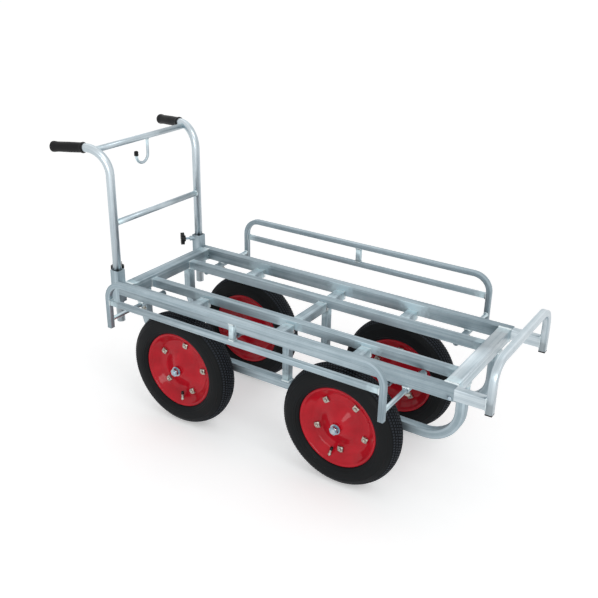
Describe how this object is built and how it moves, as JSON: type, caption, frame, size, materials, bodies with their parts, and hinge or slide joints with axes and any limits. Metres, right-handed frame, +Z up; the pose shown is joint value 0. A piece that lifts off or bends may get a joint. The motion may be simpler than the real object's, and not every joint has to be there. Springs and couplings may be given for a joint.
{
  "type": "greenhouse cart",
  "caption": "Low welded aluminium tube cart on pneumatic wheels, with a height-adjustable push handle, sliding side guards and a telescoping front frame, for carrying crates.",
  "frame": {"origin": "on the ground, under the middle of the cart's bounding box, midway between the axles", "axes": "+X forward away from the push handle, +Y to the cart's left, +Z up"},
  "size_m": [1.366, 0.668, 0.8175],
  "materials": {
    "aluminium_tube": "satin mill aluminium",
    "zinc_steel": "zinc plated",
    "tyre_rubber": "matt black rubber",
    "red_enamel": "gloss red enamel",
    "black_rubber": "satin black rubber",
    "black_plastic": "moulded black"
  },
  "bodies": {
    "chassis": {"outer_rail_right": "aluminium_tube", "outer_rail_left": "aluminium_tube", "inner_rail_right": "aluminium_tube", "inner_rail_left": "aluminium_tube", "front_cross_tube": "aluminium_tube", "rear_cross_tube": "aluminium_tube", "side_ties": "aluminium_tube", "centre_tie": "aluminium_tube", "underframe_right": "aluminium_tube", "underframe_left": "aluminium_tube", "middle_posts": "aluminium_tube", "handle_sleeve_right": "aluminium_tube", "handle_sleeve_left": "aluminium_tube", "guard_sleeves_right": "aluminium_tube", "guard_sleeves_left": "aluminium_tube", "axle_front": "zinc_steel", "axle_rear": "zinc_steel", "axle_saddles": "zinc_steel", "axle_fasteners": "zinc_steel", "clamp_screws": "zinc_steel", "lock_screws": "zinc_steel"},
    "handle": {"handle_tube_right": "aluminium_tube", "handle_tube_left": "aluminium_tube", "upper_bar": "aluminium_tube", "lower_bar": "aluminium_tube", "grip_right": "black_rubber", "grip_left": "black_rubber", "hook": "aluminium_tube", "hook_cap": "black_rubber"},
    "knob_right": {"knob_right": "black_plastic", "knob_stud_right": "zinc_steel"},
    "knob_left": {"knob_left": "black_plastic", "knob_stud_left": "zinc_steel"},
    "guard_right": {"guard_tube_right": "aluminium_tube", "guard_mid_rail_right": "aluminium_tube", "guard_strut_right": "aluminium_tube", "guard_rods_right": "aluminium_tube"},
    "guard_left": {"guard_tube_left": "aluminium_tube", "guard_mid_rail_left": "aluminium_tube", "guard_strut_left": "aluminium_tube", "guard_rods_left": "aluminium_tube"},
    "front_frame": {"front_frame_tube": "aluminium_tube", "front_arms": "aluminium_tube", "front_leg_caps": "black_plastic"},
    "wheel_front_right": {"tyre_front_right": "tyre_rubber", "rim_discs_front_right": "red_enamel", "hub_front_right": "red_enamel", "wheel_bolts_front_right": "zinc_steel"},
    "wheel_front_left": {"tyre_front_left": "tyre_rubber", "rim_discs_front_left": "red_enamel", "hub_front_left": "red_enamel", "wheel_bolts_front_left": "zinc_steel"},
    "wheel_rear_right": {"tyre_rear_right": "tyre_rubber", "rim_discs_rear_right": "red_enamel", "hub_rear_right": "red_enamel", "wheel_bolts_rear_right": "zinc_steel"},
    "wheel_rear_left": {"tyre_rear_left": "tyre_rubber", "rim_discs_rear_left": "red_enamel", "hub_rear_left": "red_enamel", "wheel_bolts_rear_left": "zinc_steel"}
  },
  "joints": [
    {"name": "wheel_front_right_spin", "type": "hinge", "parent": "chassis", "child": "wheel_front_right", "pos_m": [0.2725, -0.169, 0.176], "axis": [0, 1, 0], "continuous": true},
    {"name": "wheel_front_left_spin", "type": "hinge", "parent": "chassis", "child": "wheel_front_left", "pos_m": [0.2725, 0.169, 0.176], "axis": [0, 1, 0], "continuous": true},
    {"name": "wheel_rear_right_spin", "type": "hinge", "parent": "chassis", "child": "wheel_rear_right", "pos_m": [-0.2725, -0.169, 0.176], "axis": [0, 1, 0], "continuous": true},
    {"name": "wheel_rear_left_spin", "type": "hinge", "parent": "chassis", "child": "wheel_rear_left", "pos_m": [-0.2725, 0.169, 0.176], "axis": [0, 1, 0], "continuous": true},
    {"name": "handle_slide", "type": "slide", "parent": "chassis", "child": "handle", "axis": [0, 0, 1], "range_m": [-0.12, 0.06]},
    {"name": "knob_right_turn", "type": "hinge", "parent": "chassis", "child": "knob_right", "pos_m": [-0.498, -0.189, 0.43], "axis": [-0.7071, 0.7071, 0], "range_deg": [0, 360]},
    {"name": "knob_left_turn", "type": "hinge", "parent": "chassis", "child": "knob_left", "pos_m": [-0.498, 0.189, 0.43], "axis": [-0.7071, -0.7071, 0], "range_deg": [0, 360]},
    {"name": "guard_right_slide", "type": "slide", "parent": "chassis", "child": "guard_right", "axis": [0, -1, 0], "range_m": [-0.108, 0.03]},
    {"name": "guard_left_slide", "type": "slide", "parent": "chassis", "child": "guard_left", "axis": [0, 1, 0], "range_m": [-0.108, 0.03]},
    {"name": "front_frame_slide", "type": "slide", "parent": "chassis", "child": "front_frame", "axis": [1, 0, 0], "range_m": [-0.07, 0.1]}
  ]
}
